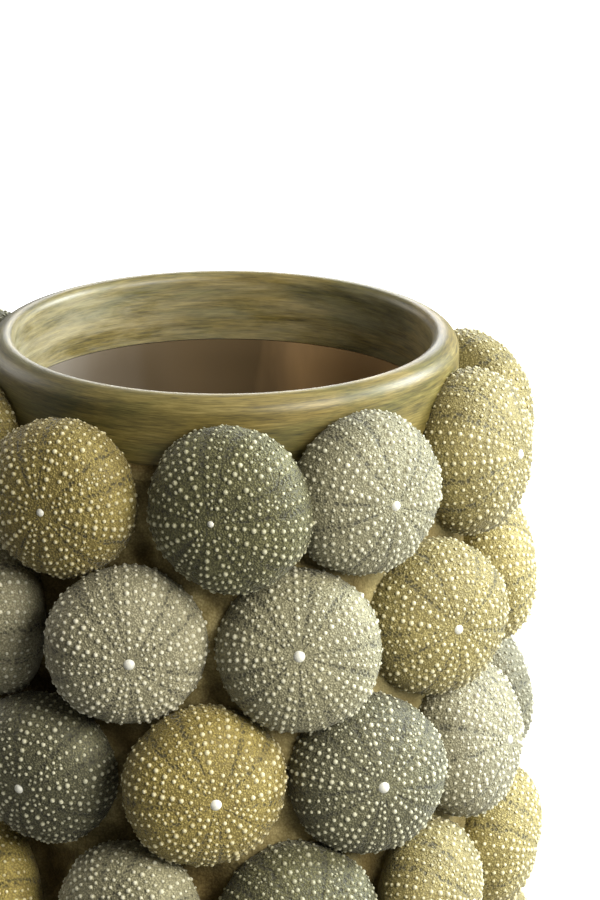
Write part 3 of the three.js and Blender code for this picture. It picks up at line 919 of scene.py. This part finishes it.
def blend_colours(share, first, second):
    """The first colour with a share of the second."""
    node = add_node(test_skin, "ShaderNodeMixRGB")
    for socket, value in zip(node.inputs, (share, first, second)):
        if isinstance(value, tuple):
            socket.default_value = (*value, 1)
        else:
            test_skin.links.new(value, socket)
    return node.outputs["Color"]


def mark(name):
    """The values kept for the corners under a name."""
    return add_node(test_skin, "ShaderNodeAttribute", attribute_name=name).outputs["Fac"]


bead_mark = mark("bead")
tip_share = calc("MAXIMUM", bead_mark, 0.0, clamp=True)
# Rubbed white and painted highlight: the tops of the beads go whiter, partly the real rubbed-back paint,
# partly a painted highlight; the knob's white is its own.
rubbed_and_highlight_share = calc("SUBTRACT", bead_mark, 1.0, clamp=True)
# Wash and painted shade: the wash colour darkens the crevices between the grains and the feet of the beads
# and granules, as the real wash and as painted shade.
foot_wash_and_shade = calc("MAXIMUM", calc("MULTIPLY", bead_mark, -1.0), 0.0)
grain = calc("SUBTRACT", 1.0, calc("MULTIPLY", grit.outputs["Distance"], 1.5), clamp=True)
off_line = calc("ABSOLUTE", calc("SUBTRACT", mark("band"), PORE_BAND))
pore_line = calc("SUBTRACT", 1.0, calc("DIVIDE", off_line, PORE_HALF_WIDTH), clamp=True)
pit = calc("MULTIPLY_ADD", pits.outputs["Distance"], -3.6, 2.15, clamp=True)
pores = calc("MULTIPLY", calc("MULTIPLY", pore_line, 2.0, clamp=True), pit)
cloud = calc("MULTIPLY_ADD", calc("SUBTRACT", patches.outputs["Fac"], 0.5), 1.3, 1.0)
wash_and_shade_share = calc("MULTIPLY", calc("MULTIPLY_ADD", grain, -1.3, cloud, clamp=True), WASH_AND_SHADE_STRENGTH)
ground = blend_colours(wash_and_shade_share, given.outputs["Ground"], given.outputs["Wash"])
ground = blend_colours(foot_wash_and_shade, ground, given.outputs["Wash"])
ground = blend_colours(calc("MULTIPLY", pores, PORE_STRENGTH), ground, PORE_COLOUR)
finish = blend_colours(tip_share, ground, given.outputs["Bead"])
finish = blend_colours(rubbed_and_highlight_share, finish, RUBBED_AND_HIGHLIGHT_COLOUR)
# Brightness of each test: partly its own tone, partly painted light and shade that lightens or darkens a
# whole test.
lit_and_toned = add_node(test_skin, "ShaderNodeMixRGB", {"Fac": 1}, blend_type="MULTIPLY")
smoothed = calc("SUBTRACT", 1.0, tip_share)
test_skin.links.new(finish, lit_and_toned.inputs["Color1"])
test_skin.links.new(mark("tone_and_light"), lit_and_toned.inputs["Color2"])
test_skin.links.new(lit_and_toned.outputs["Color"], result.inputs["Color"])
test_skin.links.new(calc("MULTIPLY_ADD", tip_share, -0.2, 0.62), result.inputs["Roughness"])
test_skin.links.new(calc("MULTIPLY", calc("SUBTRACT", grain, pores), smoothed), result.inputs["Height"])

washes = {}
for glaze, (ground_colour, wash_colour, bead_colour) in GLAZES.items():
    material, shader = new_material("urchin_" + glaze)
    tree = material.node_tree
    skin = add_node(tree, "ShaderNodeGroup", node_tree=test_skin)
    set_values(skin, {"Ground": (*ground_colour, 1), "Wash": (*wash_colour, 1), "Bead": (*bead_colour, 1)})
    relief = add_node(tree, "ShaderNodeBump", {"Distance": 0.3 * MM})
    tree.links.new(skin.outputs["Color"], shader.inputs["Base Color"])
    tree.links.new(skin.outputs["Roughness"], shader.inputs["Roughness"])
    tree.links.new(skin.outputs["Height"], relief.inputs["Height"])
    tree.links.new(relief.outputs["Normal"], shader.inputs["Normal"])
    set_values(shader, {"Specular IOR Level": 0.35, "Sheen Weight": 0.16})
    set_values(shader, {"Sheen Roughness": 0.45, "Sheen Tint": (1, 0.97, 0.84, 1)})
    washes[glaze] = material

knob_corners = len(knob[0])
for number, test in enumerate(tests):
    mesh = patterns[number % len(patterns)].copy()
    places = corners(mesh)
    places[-knob_corners:] += (places[-knob_corners:] - (0, 0, TEST_CROWN)) * (test.get("knob", 1) - 1)
    set_corners(mesh, places)
    mesh.transform(test["placing"])
    places = corners(mesh)
    carried = np.where(places[:, 2] > skirt_height, collar_outside, bed_radius(places[:, 2])) - SEAT_SINK
    places[:, :2] *= np.maximum(carried / np.hypot(places[:, 0], places[:, 1]), 1)[:, None]
    set_corners(mesh, places)
    note_values(mesh, "tone_and_light", np.full(len(mesh.vertices), test["tone_and_light"]))
    mesh.materials.append(washes[test["glaze"]])
    piece = bpy.data.objects.new(test["name"] + "_test", mesh)
    piece.data.name = piece.name
    bpy.context.collection.objects.link(piece)
    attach(piece, "root")
    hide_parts(test["name"])

for mesh in patterns:
    bpy.data.meshes.remove(mesh)
